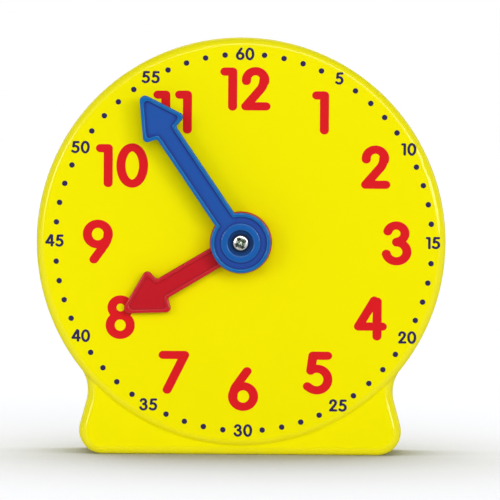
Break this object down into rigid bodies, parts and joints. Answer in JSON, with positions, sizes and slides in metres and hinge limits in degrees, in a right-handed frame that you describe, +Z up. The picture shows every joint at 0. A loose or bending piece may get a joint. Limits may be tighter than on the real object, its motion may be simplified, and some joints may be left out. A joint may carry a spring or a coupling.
{
  "type": "geared teaching clock",
  "caption": "Small desk-standing teaching clock: round dial on a wide foot, long and short arrow hands on one centre, tied by hidden gears.",
  "frame": {"origin": "bottom centre of the bounding box, on the surface that the clock stands on", "axes": "+Z up, +X to the viewer's right, the dial faces -Y; 12 o'clock is towards +Z"},
  "size_m": [0.0995, 0.0326, 0.1016],
  "materials": {
    "yellow_shell": "bright yellow moulded plastic, satin gloss",
    "yellow_cover": "yellow moulded plastic, fine mould texture",
    "blue_hand": "blue moulded plastic, satin gloss",
    "red_hand": "red moulded plastic, satin gloss",
    "gear_plastic": "natural white acetal",
    "bearing_plastic": "natural nylon",
    "plated_screw": "nickel-plated steel",
    "steel_pin": "ground steel",
    "spring_steel": "spring steel"
  },
  "bodies": {
    "housing": {"clock_body": "yellow_shell", "gear_cover": "yellow_cover", "centre_bush": "bearing_plastic", "intermediate_axle": "steel_pin", "friction_spring": "spring_steel", "hour_thrust_washer": "bearing_plastic", "arbor_thrust_washer": "bearing_plastic", "front_axle_washer": "bearing_plastic", "rear_axle_washer": "bearing_plastic", "cover_screw_upper_left": "plated_screw", "cover_screw_upper_right": "plated_screw", "cover_screw_lower_left": "plated_screw", "cover_screw_lower_right": "plated_screw"},
    "minute_assembly": {"minute_hand": "blue_hand", "minute_arbor": "gear_plastic", "minute_hand_screw": "plated_screw", "hand_spacer": "bearing_plastic"},
    "hour_assembly": {"hour_hand": "red_hand", "hour_wheel": "gear_plastic"},
    "intermediate": {"intermediate_gear": "gear_plastic"}
  },
  "joints": [
    {"name": "minute_turn", "type": "hinge", "parent": "housing", "child": "minute_assembly", "pos_m": [0, -0.00905, 0.05185], "axis": [0, 1, 0], "continuous": true},
    {"name": "hour_turn", "type": "hinge", "parent": "housing", "child": "hour_assembly", "pos_m": [0, -0.00905, 0.05185], "axis": [0, 1, 0], "continuous": true},
    {"name": "intermediate_turn", "type": "hinge", "parent": "housing", "child": "intermediate", "pos_m": [0, -0.00905, 0.03185], "axis": [0, 1, 0], "continuous": true}
  ],
  "couplings": [
    {"joint": "hour_turn", "follows": "minute_turn", "ratio": 0.083333},
    {"joint": "intermediate_turn", "follows": "minute_turn", "ratio": -0.33333}
  ]
}
